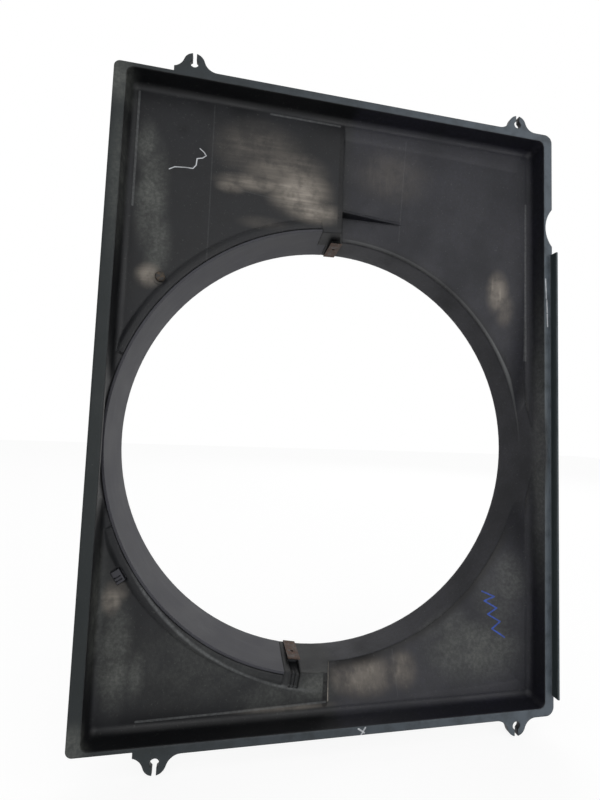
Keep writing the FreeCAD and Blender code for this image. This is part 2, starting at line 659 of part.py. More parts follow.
# inside of the moulded duct half, then the opening for the half ring
sk = axis_sketch(body, "duct_bore_near", "duct_near_mid")
polygon(sk, [("before_face", "bore_in"), ("before_face", "r_before"), ("mid_y", "r_tab"),
             ("mid_y", "bore_in")])
spin(body, sk, "bore_near", "duct_near_deg", cut=True)
sk = axis_sketch(body, "duct_bore_far", "duct_tab_mid")
polygon(sk, [("mid_y", "bore_in"), ("mid_y", "r_tab"), ("past_rim", "r_past"),
             ("past_rim", "bore_in")])
spin(body, sk, "bore_far", "duct_tab_deg", cut=True)
sk = axis_sketch(body, "core_section")
polygon(sk, [("before_face", "0"), ("before_face", "bore_in"), ("past_rim", "bore_in"),
             ("past_rim", "0")])
spin(body, sk, "core", cut=True)
sk = axis_sketch(body, "opening_section", "ring_near_mid")
polygon(sk, [("flange_t", "bore_in"), ("flange_t", "open_r"), ("open_end", "open_r"),
             ("open_end", "bore_in")])
spin(body, sk, "opening", "open_deg", cut=True)

# bead round the opening, up to where the pan wall takes its place
bead = [("bead_foot", "open_r"), ("bead_top", "open_r"), ("bead_top", "bead_in2"),
        ("bead_side", "bead_out"), ("bead_foot", "bead_out")]
for word in ("up", "low"):
    sk = axis_sketch(body, "bead_section_" + word, "bead_%s_mid" % word)
    polygon(sk, bead)
    spin(body, sk, "bead_" + word, "bead_%s_deg" % word)

# gusset from the step down to the funnel
sk = sketch(body, "gusset_section", "XY_Plane", ("0", "0", "rib_z"))
polygon(sk, [("rib_x0", "pan_depth"), ("rib_x1", "rib_y1"), ("rib_x1", "rib_b1"),
             ("rib_x0", "rib_b0")])
pad(body, sk, "gusset", "rib_t", middle=True)

# air lip and hose notch on the right-hand edge
sk = face_sketch(body, "lip_outline", "lip_back")
box(sk, "lip_x", "edge_r", "lip_low", "lip_top")
pad(body, sk, "air_lip", "lip_len", forward=True)
sk = face_sketch(body, "notch_outline")
circle(sk, "notch_x", "notch_z", "notch_r")
pocket(body, sk, "hose_notch", "flange_t")

# rivet seat and hole, latch window, and the slots beside the clips
sk = polar_sketch(body, "seat_outline", "pad_y", "rivet_deg")
circle(sk, "rivet_at", "0", "pad_r")
pad(body, sk, "rivet_seat", "pad_len")
sk = polar_sketch(body, "rivet_hole_outline", "pad_y", "rivet_deg")
circle(sk, "rivet_at", "0", "rivet_hole_r")
pocket(body, sk, "rivet_hole")
sk = polar_sketch(body, "window_outline", "bead_top", "latch_deg")
box(sk, "latch_r0", "latch_r1", "-latch_half", "latch_half")
pocket(body, sk, "latch_window")
sk = polar_sketch(body, "slit_outline", "slit_front", "slit_deg")
box(sk, "slit_in", "slit_out", "-slit_half", "slit_half")
pocket(body, sk, "clip_slit", "slit_h")
sk = polar_sketch(body, "slot_outline", "slot_y0", "slot_deg")
box(sk, "slot_in", "slot_far", "-slot_half", "slot_half")
pocket(body, sk, "clip_slot", "slot_len")
sk = polar_sketch(body, "slot_rib_outline", "slot_rib_y", "slot_deg")
box(sk, "slot_r0", "slot_r1", "slot_a", "slot_b")
box(sk, "slot_r0", "slot_r1", "-slot_b", "-slot_a")
pad(body, sk, "slot_ribs", "slot_rib_len")

# one ear, then the same on all four corners of the hole pattern
sk = face_sketch(body, "ear_round")
circle(sk, "hole_x", "hole_z", "lug_r")
ear_a = pad(body, sk, "ear_lug", "ear_t")
sk = face_sketch(body, "ear_root_outline")
polygon(sk, [("foot_x0", "ear_root"), ("foot_x1", "ear_root"), ("foot_x1", "edge_z"),
             ("waist_x1", "waist_z"), ("waist_x0", "waist_z"), ("foot_x0", "edge_z")])
ear_b = pad(body, sk, "ear_root_pad", "ear_t")
sk = face_sketch(body, "ear_blend_outline")
circle(sk, "foot_x0", "blend_z", "ear_blend")
circle(sk, "foot_x1", "blend_z", "ear_blend")
ear_c = pocket(body, sk, "ear_blends", "ear_t")
sk = face_sketch(body, "ear_hole_outline")
circle(sk, "hole_x", "hole_z", "bolt_r")
ear_d = pocket(body, sk, "ear_hole", "ear_t")
sk = face_sketch(body, "ear_key_outline")
box(sk, "key_x0", "key_x1", "hole_z", "key_top")
ear_e = pocket(body, sk, "ear_key", "ear_t")
ears = body.newObject("PartDesign::MultiTransform", "ears")
ears.Originals = [ear_a, ear_b, ear_c, ear_d, ear_e]
across = body.newObject("PartDesign::Mirrored", "ears_across")
across.MirrorPlane = (plane_of(body, "YZ_Plane"), [""])
below = body.newObject("PartDesign::Mirrored", "ears_below")
below.MirrorPlane = (plane_of(body, "XY_Plane"), [""])
ears.Transformations = [across, below]
body.Tip = ears
sk = face_sketch(body, "shoulder_outline")
box(sk, "trim_x", "step_edge", "short_z", "trim_z")
box(sk, "trim_x", "step_edge", "-trim_z", "-short_z")
pocket(body, sk, "ear_shoulders", "ear_t")

# ================================================================ half ring
ring = start_body("half_ring")
sk = axis_sketch(ring, "near_section", "ring_near_mid")
polygon(sk, [("ring_front", "r_front"), ("ring_front", "r_front_out"),
             ("mid_y", "r_tab_out"), ("mid_y", "r_tab")])
spin(ring, sk, "near_wall", "ring_near_deg")
sk = axis_sketch(ring, "far_section", "ring_tab_mid")
polygon(sk, [("mid_y", "r_tab"), ("mid_y", "r_tab_out"), ("duct_depth", "r_rim_out"),
             ("duct_depth", "rim_r")])
spin(ring, sk, "far_wall", "ring_tab_deg")
sk = axis_sketch(ring, "bearing_section", "ring_near_mid")
polygon(sk, [("rim_y0", "rim_in"), ("rim_y0", "rim_out"), ("rim_y1", "rim_out"),
             ("rim_y1", "rim_in")])
spin(ring, sk, "bearing_rim", "ring_near_deg")

# tongues that lie behind the moulded duct at both joints, and their roots
tongue = [("tongue_front", "t_front_in"), ("tongue_front", "t_front_out"),
          ("duct_depth", "t_rim_out"), ("duct_depth", "t_rim_in")]
root = [("tongue_front", "b_front_in"), ("tongue_front", "t_front_out"),
        ("duct_depth", "t_rim_out"), ("duct_depth", "b_rim_in")]
for word in ("u", "l"):
    sk = axis_sketch(ring, "root_section_" + word, "b%s_mid" % word)
    polygon(sk, root)
    spin(ring, sk, "tongue_root_" + word, "tongue_root")
    sk = axis_sketch(ring, "tongue_section_" + word, "t%s_mid" % word)
    polygon(sk, tongue)
    spin(ring, sk, "tongue_" + word, "tu_deg")

# lugs behind the panel: one for the push rivet, one carrying the latch tongue
for word, turn in (("lug_a", "rivet_deg"), ("lug_b", "latch_deg")):
    sk = polar_sketch(ring, word + "_outline", "rim_y0", turn)
    box(sk, "lug_in", word, "-lug_half", "lug_half")
    pad(ring, sk, word + "_plate", "ring_rim_t")
sk = polar_sketch(ring, "lug_hole_outline", "rim_y0", "rivet_deg")
circle(sk, "rivet_at", "0", "rivet_hole_r")
pocket(ring, sk, "lug_hole", "ring_rim_t")
sk = polar_sketch(ring, "hook_outline", "hook_y", "latch_deg")
box(sk, "hook_r0", "hook_r1", "-hook_half", "hook_half")
pad(ring, sk, "latch_tongue", "hook_len")
sk = polar_sketch(ring, "tooth_outline", "hook_y", "latch_deg")
box(sk, "tooth_r0", "tooth_r1", "-tooth_half", "tooth_half")
groove = pocket(ring, sk, "tooth_groove", "tooth_cut")
teeth = ring.newObject("PartDesign::LinearPattern", "teeth")
teeth.Originals = [groove]
teeth.Direction = (sk, ["V_Axis"])
teeth.Length = size("tooth_span") / 2
teeth.setExpression("Length", "Sizes.tooth_span / 2")
teeth.Occurrences = 2
ring.Tip = teeth


# ================================================================ spring clips
def spring_clip(label, turn):
    clip = start_body(label)
    sk = axis_sketch(clip, label + "_section", turn)
    polygon(sk, [("c_end", "c_inn"), ("c_y1", "c_inn"), ("c_y1", "c_outt_rim"),
                 ("c_back", "c_outt_end"), ("c_back", "c_out_end"), ("c_y0", "c_out_rim"),
                 ("c_y0", "c_in"), ("c_end", "c_in")])
    pad(clip, sk, label + "_strip", "clip_w", middle=True)
    sk = sketch(clip, label + "_hole_outline", "XY_Plane", ("axis_x", "0", "axis_z"), turn,
                V(0, 1, 0))
    circle(sk, "0", "c_hole_y", "c_hole_r")
    hole = pocket(clip, sk, label + "_hole", "c_hole_end")
    hole.Reversed = True
    return clip


clip_a = spring_clip("spring_clip_upper", "clip_up_deg")
clip_b = spring_clip("spring_clip_lower", "clip_low_deg")

# ================================================================ push rivet
rivet = start_body("push_rivet")
sk = sketch(rivet, "rivet_section", "YZ_Plane", ("0", "rivet_z", "rivet_x"))
polygon(sk, [("rv_top", "0"), ("rv_top", "rivet_dome"), ("rv_edge", "rivet_head_r"),
             ("rv_under", "rivet_head_r"), ("rv_under", "rivet_r"), ("rv_tip", "rivet_r"),
             ("rv_end", "rv_point"), ("rv_end", "0")])
spin(rivet, sk, "rivet")

doc.recompute()
for item in (body, ring, clip_a, clip_b, rivet):
    print(item.Label, item.State, item.Shape.isValid(), len(item.Shape.Solids),
          round(item.Shape.Volume), [round(v, 1) for v in (
              item.Shape.BoundBox.XMin, item.Shape.BoundBox.XMax, item.Shape.BoundBox.YMin,
              item.Shape.BoundBox.YMax, item.Shape.BoundBox.ZMin, item.Shape.BoundBox.ZMax)])
bad = [o.Name + str(o.State) for o in doc.Objects if "Invalid" in o.State or "Error" in o.State]
print("bad:", bad)
for item in (body, ring, clip_a, clip_b, rivet):
    if item.Shape.isNull() or not item.Shape.isValid():
        raise RuntimeError(item.Label + " has no sound shape")
    item.Shape.exportStep("parts/" + item.Label + ".step")
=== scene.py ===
import math

import bmesh
import bpy
import numpy as np
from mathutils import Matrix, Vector


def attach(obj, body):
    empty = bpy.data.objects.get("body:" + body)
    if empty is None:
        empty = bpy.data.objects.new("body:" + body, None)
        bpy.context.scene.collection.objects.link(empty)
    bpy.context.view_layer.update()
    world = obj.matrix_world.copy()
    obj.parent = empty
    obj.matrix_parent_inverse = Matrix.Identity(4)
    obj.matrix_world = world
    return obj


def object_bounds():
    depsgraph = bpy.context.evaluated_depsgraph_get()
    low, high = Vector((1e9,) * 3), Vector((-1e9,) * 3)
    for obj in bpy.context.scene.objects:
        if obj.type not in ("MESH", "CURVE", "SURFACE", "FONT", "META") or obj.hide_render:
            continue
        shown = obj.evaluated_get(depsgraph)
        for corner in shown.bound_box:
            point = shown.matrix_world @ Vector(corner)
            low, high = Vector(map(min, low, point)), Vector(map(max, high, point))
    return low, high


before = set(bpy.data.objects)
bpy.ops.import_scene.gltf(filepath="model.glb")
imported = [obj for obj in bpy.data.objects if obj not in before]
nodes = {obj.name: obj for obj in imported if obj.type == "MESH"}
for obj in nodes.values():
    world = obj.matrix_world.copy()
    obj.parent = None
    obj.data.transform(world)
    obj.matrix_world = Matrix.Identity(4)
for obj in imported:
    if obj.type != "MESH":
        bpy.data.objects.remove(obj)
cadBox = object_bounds()
print("frame loaded:", ", ".join(sorted(nodes)))

mm = 0.001  # metres in a millimetre
fanAxis = (-15.45, 0.0, -44.4)  # where the fan's axis crosses the flange face, mm
plain = (1, 1, 1)  # a mottle that isn't stretched
noiseRoughness = 0.6  # how much each finer octave of a mottle adds
bevelSamples = 6  # rays that look for an edge
smooth = {"interpolation_type": "SMOOTHSTEP"}
# sockets of a Mix node: its factor, its two numbers, its two colours and its colour result
mixFactor, numberA, numberB, colourA, colourB, colourResult = 0, 2, 3, 6, 7, 2


def linearColour(hexText):
    # sRGB hex to linear: c / 12.92 below 0.04045, else ((c + 0.055) / 1.055) ^ 2.4
    parts = [int(hexText[i:i + 2], 16) / 255 for i in (1, 3, 5)]
    return [c / 12.92 if c <= 0.04045 else ((c + 0.055) / 1.055) ** 2.4 for c in parts] + [1.0]


def addNode(tree, kind, settings=None, inputs=None, out=0):
    # adds one node, sets it up, links or fills its inputs, and gives back one of its outputs
    node = tree.nodes.new("ShaderNode" + kind)
    for name, value in (settings or {}).items():
        setattr(node, name, value)
    for name, value in (inputs or {}).items():
        if isinstance(value, bpy.types.NodeSocket):
            tree.links.new(value, node.inputs[name])
        elif isinstance(value, str):
            node.inputs[name].default_value = linearColour(value)
        else:
            node.inputs[name].default_value = value
    return node.outputs[out] if node.outputs else None


def newMaterial(name):
    # an empty node material and its tree
    material = bpy.data.materials.new(name)
    material.use_nodes = True
    material.node_tree.nodes.clear()
    return material, material.node_tree


def span(limits, ends=(0.0, 1.0)):
    # the sockets of a Map Range node: the first limit goes to the first end, and so on
    return {"From Min": limits[0], "From Max": limits[1], "To Min": ends[0], "To Max": ends[1]}


def millimetres(tree):
    # the surface point in millimetres: object coordinates times 1000
    place = addNode(tree, "TexCoord", out="Object")
    return addNode(tree, "VectorMath", {"operation": "SCALE"}, {0: place, "Scale": 1 / mm})


def mottle(tree, point, grain, low, high, detail=4.0, stretch=plain):
    # noise of the given grain in mm, stretched along an axis, cut to 0..1 between low and high
    spread = addNode(tree, "VectorMath", {"operation": "DIVIDE"}, {0: point, 1: stretch})
    value = addNode(tree, "TexNoise", None, {
        "Vector": spread, "Scale": 1 / grain, "Detail": detail,
        "Roughness": noiseRoughness})
    return addNode(tree, "MapRange", smooth, {"Value": value, **span((low, high))})


def spotMask(tree, point, at, size, inner):
    # 1 inside the ellipsoid, falling to 0 at its rim: 1 - smoothstep(|(p - at) / size|)
    away = addNode(tree, "VectorMath", {"operation": "SUBTRACT"}, {0: point, 1: at})
    scaled = addNode(tree, "VectorMath", {"operation": "DIVIDE"}, {0: away, 1: size})
    reach = addNode(tree, "VectorMath", {"operation": "LENGTH"}, {0: scaled}, out="Value")
    return addNode(tree, "MapRange", smooth, {"Value": reach, **span((inner, 1.0), (1.0, 0.0))})


def spotField(tree, point, spots, inner=0.15):
    # the strongest of several spots, each times its own strength
    field = None
    for at, size, strength in spots:
        mask = product(tree, spotMask(tree, point, at, size, inner), strength)
        field = mask if field is None else addNode(
            tree, "Math", {"operation": "MAXIMUM"}, {0: field, 1: mask})
    return field


def strokeMask(tree, flat, corners, width, core=0.35, fade=0.65):
    # the distance to the nearest run of the line, seen along Y: full out to core times the
    # width, gone at fade times the width
    nearest = None
    corners = [Vector((x, 0, z)) for x, z in corners]
    for start, end in zip(corners, corners[1:]):
        run = end - start
        away = addNode(tree, "VectorMath", {"operation": "SUBTRACT"}, {0: flat, 1: start})
        along = addNode(tree, "VectorMath", {"operation": "DOT_PRODUCT"},
                        {0: away, 1: run / run.length_squared}, out="Value")
        along = addNode(tree, "Clamp", None, {"Value": along})
        foot = addNode(tree, "VectorMath", {"operation": "SCALE"},
                       {0: tuple(run), "Scale": along})
        gap = addNode(tree, "VectorMath", {"operation": "DISTANCE"},
                      {0: away, 1: foot}, out="Value")
        nearest = gap if nearest is None else addNode(
            tree, "Math", {"operation": "MINIMUM"}, {0: nearest, 1: gap})
    return addNode(tree, "MapRange", None, {
        "Value": nearest, **span((width * core, width * fade), (1.0, 0.0))})


def offset(tree, value, level):
    # how far a value is from a level, either way: |value - level|
    gap = addNode(tree, "Math", {"operation": "SUBTRACT"}, {0: value, 1: level})
    return addNode(tree, "Math", {"operation": "ABSOLUTE"}, {0: gap})


def product(tree, *factors):
    # all the masks multiplied together
    total = factors[0]
    for factor in factors[1:]:
        total = addNode(tree, "Math", {"operation": "MULTIPLY"}, {0: total, 1: factor})
    return total


def layers(tree, base, coats):
    # colour layers from the base up: each coat is (mask, colour)
    colour = base
    for mask, coat in coats:
        colour = addNode(tree, "Mix", {"data_type": "RGBA"},
                         {mixFactor: mask, colourA: colour, colourB: coat}, out=colourResult)
    return colour


def roundedNormal(tree, radius):
    # the normal with every edge eased by a moulding radius in mm
    return addNode(tree, "Bevel", {"samples": bevelSamples}, {"Radius": radius * mm})


def edgeMask(tree, radius, low, high):
    # 1 close to an edge: how far the eased normal turns from the flat one, between low and high
    eased = roundedNormal(tree, radius)
    flat = addNode(tree, "NewGeometry", out="Normal")
    turn = addNode(tree, "VectorMath", {"operation": "DOT_PRODUCT"},
                   {0: eased, 1: flat}, out="Value")
    return addNode(tree, "MapRange", None, {"Value": turn, **span((1 - low, 1 - high))})


def finishSurface(tree, look, colour, roughness, height):
    # the principled surface: eased edges, and one bump of the height mask times the lift in mm
    relief = addNode(tree, "Bump", None, {
        "Strength": 1.0, "Distance": look["lift"] * mm, "Height": height,
        "Normal": roundedNormal(tree, look["edgeRadius"])})
    shader = addNode(tree, "BsdfPrincipled", None, {
        "Base Color": colour, "Roughness": roughness, "Metallic": look["metallic"],
        "IOR": look["ior"], "Specular IOR Level": look["specular"], "Normal": relief})
    addNode(tree, "OutputMaterial", None, {"Surface": shader})


def dress(name, material):
    # gives every slot of a node the material
    for slot in nodes[name].material_slots:
        slot.material = material
    if not nodes[name].material_slots:
        nodes[name].data.materials.append(material)


# shroud: polypropylene with talc, injection moulded, so black with a fine grain and soft edges,
# greyed by heat and under years of road dust; shade and highlights are painted on along its step,
# creases, bead and the mouth of its duct
shroudLook = {
    "black": "#0e0f11",        # the bare plastic
    "greyed": "#1f2023",       # film that sunlight and heat leave
    "violet": "#24242e",       # cooler cast of the duct on the right
    "dustAndHighlight": "#9c958c",         # dry road dust, sandy; also a painted highlight on the step's edge and the bottom crease
    "greyDust": "#565855",     # finer dust in the corners
    "grimeAndShade": "#08080a",        # near black: dark marks, and painted shade at the step, the duct's mouth and round the latch
    "rimDark": "#141618",      # flange on the left
    "rimGrey": "#586069",      # flange on the right; the flange greys from left to right
    "wornAndGlint": "#6d6f70",         # edges rubbed pale; also painted highlights on the creases, the bead's crest and the duct's rim
    "lip": "#364040",          # the air lip, a cooler, greenish black
    "scratch": "#c9ccd0",
    "ink": "#2f55b8",          # marker strokes, no meaning
    "ior": 1.49,
    "specular": 0.25,
    "metallic": 0.0,
    "roughness": (0.4, 0.58),
    "edgeRadius": 3.0,         # mm
    "lift": 0.05,              # mm, height of the moulded grain
    # strength of each coat
    "film": (0.3, 0.9), "castRight": (0.7, 0.3), "rim": 0.95, "lipCoat": 0.6, "crest": 0.6,
    "glint": 0.6, "freckles": 0.3, "edges": 0.3,
    # where a mask goes from 0 to 1: the Y of the normal for the first three, then mm
    "regions": {
        "front": (-0.55, -0.9),        # faces that look at the radiator
        "inside": (-0.1, -0.3),        # the drafted walls
        "broad": (0.55, 0.9),          # panels and flange, front and back
        "flange": (3.4, 3.0),          # depth
        "airLip": (0.2, -0.4),         # depth
        "rightHalf": (-14, -4),
        "alongFlange": (-240, 200),    # left to right
        "upperHalf": (-40, 60),
        "duct": (231.0, 230.0),        # radius
    },
    "mouthRadius": (226.0, 237.0),     # shade at the mouth of the duct
    "glintDepth": 37.2, "glintWidth": (0.5, 1.6),
    "crestRadius": 247.3, "crestLean": -0.075, "crestWidth": (0.3, 2.6),  # wanders outwards
    "crestPlace": ((-130, 20, -240), (130, 60, 120), 0.6),
    "edgeWear": (1.0, 0.03, 0.3),      # radius in mm, then how far the normal turns
    # grain in mm, where the noise is cut, detail and stretch
    "mottles": {
        "cloudy": (70, 0.35, 0.68),
        "across": (4, 0.4, 0.75, 4, (16, 1, 1)),    # wiped sideways, left of the step
        "down": (4, 0.45, 0.8, 4, (1, 1, 22)),      # runs down, right of the step
        "speck": (3.5, 0.38, 0.66, 8),
        "patchy": (16, 0.3, 0.6, 8),
        "freckle": (2.0, 0.62, 0.74, 3),
        "rub": (9, 0.4, 0.6, 6),
        "skin": (1.1, 0.2, 0.8, 2),    # the real grain is about 0.3 mm, drawn coarser to show
    },
    "floors": {"lane": 0.65, "flecks": 0.55, "blotch": 0.45},  # what a mottle leaves at least
    # centre, half sizes and strength of each spot, in mm
    "sandySpots": [
        ((-66, 21, 224), (44, 14, 36), 1.0),
        ((-50, 21, 203), (40, 14, 18), 0.85),
        ((-84, 21, 242), (60, 14, 34), 0.5),
        ((-112, 21, 226), (52, 14, 13), 0.65),
        ((-138, 21, 219), (20, 14, 10), 0.6),
        ((-110, 21, 262), (60, 14, 40), 0.28),
        ((-104, 21, 184), (34, 14, 10), 0.15),
        ((177, 30, 140), (17, 16, 32), 1.0),
        ((186, 30, 120), (14, 16, 26), 0.5),
        ((24, 34, -286), (50, 18, 30), 0.75),
        ((66, 32, -280), (22, 18, 26), 0.55),
        ((-4, 36, -290), (16, 14, 24), 0.6),
        ((40, 30, 262), (60, 20, 40), 0.2),
        ((-213, 21, 117), (17, 12, 16), 0.85),
        ((-228, 21, -192), (12, 14, 20), 0.75),
        # a thin pale line on the bottom crease: dust, and a painted highlight
        ((-62, 21, -303), (70, 10, 4), 0.4),
        ((-224, 21, -186), (14, 12, 14), 0.4),
    ],
    "greySpots": [
        ((-216, 21, 200), (22, 14, 75), 1.0),
        ((-222, 21, 250), (16, 14, 34), 0.9),
        ((-207, 21, 150), (18, 14, 44), 0.8),
        ((-222, 21, -245), (22, 14, 66), 1.0),
        ((-203, 21, -262), (14, 14, 34), 0.7),
        ((-236, 12, -200), (14, 16, 90), 0.8),
        ((-246, 6, 296), (22, 22, 34), 1.0),
        ((-244, 8, 200), (12, 18, 110), 0.7),
        ((-248, 0, -306), (20, 14, 26), 0.9),
        ((192, 30, -190), (26, 18, 44), 0.6),
        ((150, 30, -262), (80, 20, 46), 0.8),
        ((110, 30, -236), (60, 20, 30), 0.7),
        ((-26, 21, -284), (40, 14, 20), 0.9),
        ((-70, 21, -290), (60, 14, 24), 0.5),
        ((-190, 21, 90), (12, 14, 20), 0.5),
        # this one and the next lighten the lower panels as a whole
        ((-140, 21, -254), (110, 14, 58), 0.3),
        ((178, 30, -215), (44, 20, 70), 0.35),
        ((212, 4, -20), (10, 20, 260), 0.5),
    ],
    "grimeAndShadeSpots": [
        ((-188.7, 21, 271), (9, 8, 9), 0.55),      # round mark of the mould
        ((-211.7, 21, -244), (6, 8, 6), 0.5),      # the same, lower down
        ((-222.6, 21, -171.4), (10, 10, 9), 0.9),  # latch, with painted shade in the gap round it
        ((-136, 21, 213), (12, 10, 8), 0.4),
        # these three darken the walls close to their feet
        ((-232, 14, 150), (10, 14, 60), 0.5),
        ((-231, 21, 216), (6, 10, 18), 0.7),
        ((-120, 14, -309), (150, 14, 8), 0.8),
    ],
    # thin lines: width in mm, strength, colour, faces, what breaks them up, corners as (x, z)
    "lines": [
        (5.0, 1.0, "grimeAndShade", "front", "flecks", [   # painted shade along the step, low down and up high
            [(-21, -302), (-20.5, -270)], [(-21, 190), (-21, 306)]]),
        (1.8, 1.0, "dustAndHighlight", "front", "flecks", [    # a pale line on its edge low down: dust, and a painted highlight of the edge
            [(-17.4, -300), (-13.8, -268)]]),
        (1.2, 0.12, "wornAndGlint", "front", "flecks", [   # joints of the mould
            [(-158.5, 130), (-158.5, 303)], [(54, 190), (54, 300)], [(58, -302), (57, -262)],
            [(-128, 216), (-60, 208), (-30, 204)]]),
        (2.0, 0.5, "wornAndGlint", "inside", "flecks", [   # painted highlight along the crease under the walls
            [(-232.8, 304), (-232.6, 186)], [(-100, 304.2), (-24, 303.8)],
            [(206.2, 246), (206.4, 60)],
            [(-200, -303.6), (-114, -302.4), (-46, -300.6), (-20, -300)]]),
        (1.0, 0.95, "scratch", "front", "blotch", [
            [(-200, 228), (-195, 231), (-185, 232), (-177, 232), (-174, 236), (-173.5, 243),
             (-168, 244.5), (-164.5, 247.5), (-167, 251), (-171, 254)]]),
        (1.5, 0.9, "ink", "front", "flecks", [
            [(163, -204), (176, -209), (165, -214), (178, -221), (168, -228), (181, -235),
             (172, -243), (185, -251)]]),
        (1.5, 0.85, "scratch", "front", "blotch", [   # on the right flange and the bottom one
            [(215, 150), (216, 128)], [(216.5, 126), (217, 112)], [(217, 110), (217.4, 96)],
            [(8, -314), (14, -318)], [(15, -313.5), (11, -319.5)]]),
    ],
}


def shroudRegions(tree, point, limits):
    # masks of where a point lies: its place, its distance from the fan's axis and the way its
    # face looks, each taken from 0 to 1 between two limits
    normal = addNode(tree, "TexCoord", out="Normal")
    facing = addNode(tree, "SeparateXYZ", None, {0: normal}, out="Y")
    either = addNode(tree, "Math", {"operation": "ABSOLUTE"}, {0: facing})
    east, depth, up = [addNode(tree, "SeparateXYZ", None, {0: point}, out=axis) for axis in "XYZ"]
    flat = addNode(tree, "VectorMath", {"operation": "MULTIPLY"}, {0: point, 1: (1, 0, 1)})
    radius = addNode(tree, "VectorMath", {"operation": "DISTANCE"},
                     {0: flat, 1: fanAxis}, out="Value")
    measured = {"front": facing, "inside": facing, "broad": either, "flange": depth,
                "airLip": depth, "rightHalf": east, "alongFlange": east, "upperHalf": up,
                "duct": radius}
    region = {name: addNode(tree, "MapRange", None, {"Value": value, **span(limits[name])})
              for name, value in measured.items()}
    region.update(flat=flat, east=east, depth=depth, radius=radius)
    return region


def shroudPatterns(tree, point, region, look):
    # the mottles and what is made of them: lanes that run across on the left and down on the
    # right, flecks and blotches, each lifted to its floor
    pattern = {name: mottle(tree, point, *cut) for name, cut in look["mottles"].items()}
    lanes = addNode(tree, "Mix", {"data_type": "FLOAT"}, {
        mixFactor: region["rightHalf"], numberA: pattern["across"], numberB: pattern["down"]})
    sources = {"lane": lanes, "flecks": pattern["speck"], "blotch": pattern["patchy"]}
    for name, source in sources.items():
        pattern[name] = addNode(tree, "MapRange", None, {
            "Value": source, **span((0, 1), (look["floors"][name], 1))})
    return pattern


def shroudWearAndLight(tree, point, region, pattern, look):
    # masks of painted shade, painted highlights and rubbing: shade at the duct's mouth by radius,
    # a glint on its rim by depth, a highlight on the crest of the bead by a radius that wanders
    # with x, and the edges, rubbed pale and with a painted highlight in the concave creases as
    # well
    mouth = addNode(tree, "MapRange", smooth, {
        "Value": region["radius"], **span(look["mouthRadius"], (1.0, 0.0))})
    glint = addNode(tree, "MapRange", None, {
        "Value": offset(tree, region["depth"], look["glintDepth"]),
        **span(look["glintWidth"], (look["glint"], 0.0))})
    lean = addNode(tree, "Math", {"operation": "MULTIPLY_ADD"}, {
        0: region["east"], 1: look["crestLean"], 2: region["radius"]})
    crest = addNode(tree, "MapRange", smooth, {
        "Value": offset(tree, lean, look["crestRadius"]),
        **span(look["crestWidth"], (look["crest"], 0.0))})
    return {
        "mouth": product(tree, region["rightHalf"], region["front"], mouth),
        "glint": product(tree, region["rightHalf"], region["upperHalf"], region["duct"], glint),
        "crest": product(tree, spotMask(tree, point, *look["crestPlace"]),
                         pattern["flecks"], crest),
        "edges": product(tree, edgeMask(tree, *look["edgeWear"]), pattern["rub"], look["edges"]),
    }


def shroudCoats(tree, point, region, pattern, sandy, look):
    # (mask, colour) of each coat, from the film of age up to the scratches
    film = addNode(tree, "MapRange", None, {
        "Value": pattern["cloudy"], **span((0, 1), look["film"])})
    cast = addNode(tree, "MapRange", None, {
        "Value": pattern["cloudy"], **span((0, 1), look["castRight"])})
    rimColour = layers(tree, look["rimDark"], [(region["alongFlange"], look["rimGrey"])])
    flecks, blotch = pattern["flecks"], pattern["blotch"]
    wearAndLight = shroudWearAndLight(tree, point, region, pattern, look)
    coats = [
        (product(tree, film, region["broad"]), look["greyed"]),
        (product(tree, region["rightHalf"], flecks, cast), look["violet"]),
        (product(tree, region["flange"], region["front"], blotch, look["rim"]), rimColour),
        (product(tree, region["airLip"], look["lipCoat"]), look["lip"]),
        (product(tree, spotField(tree, point, look["greySpots"]), blotch, flecks),
         look["greyDust"]),
        (sandy, look["dustAndHighlight"]),
        (product(tree, spotField(tree, point, look["grimeAndShadeSpots"]), flecks), look["grimeAndShade"]),
        # painted shade at the mouth of the duct
        (wearAndLight["mouth"], look["grimeAndShade"]),
        # painted highlights on the rim of the duct and on the crest of the bead
        (wearAndLight["glint"], look["wornAndGlint"]),
        (wearAndLight["crest"], look["wornAndGlint"]),
        (product(tree, pattern["freckle"], look["freckles"]), look["greyDust"]),
        # edges rubbed pale, with a painted highlight in the concave creases as well
        (wearAndLight["edges"], look["wornAndGlint"]),
    ]
    for width, strength, tint, faces, breaks, runs in look["lines"]:
        for corners in runs:
            line = strokeMask(tree, region["flat"], corners, width)
            mask = product(tree, line, region[faces], pattern[breaks], strength)
            coats.append((mask, look[tint]))
    return coats


def mouldedShroud(look):
    # black plastic under its coats of dirt, wear, painted shade and painted highlights, rougher
    # where the sandy dust lies
    material, tree = newMaterial("polypropyleneMouldedBlack")
    point = millimetres(tree)
    region = shroudRegions(tree, point, look["regions"])
    pattern = shroudPatterns(tree, point, region, look)
    sandy = product(tree, spotField(tree, point, look["sandySpots"]), region["front"],
                    pattern["blotch"], pattern["lane"])
    colour = layers(tree, look["black"],
                    shroudCoats(tree, point, region, pattern, sandy, look))
    rough = addNode(tree, "MapRange", None, {
        "Value": pattern["cloudy"], **span((0, 1), look["roughness"])})
    rough = addNode(tree, "Math", {"operation": "ADD", "use_clamp": True}, {0: rough, 1: sandy})
    finishSurface(tree, look, colour, rough, pattern["skin"])
    return material


shroudPlastic = mouldedShroud(shroudLook)
dress("shroud_body", shroudPlastic)
print("shroud dressed")

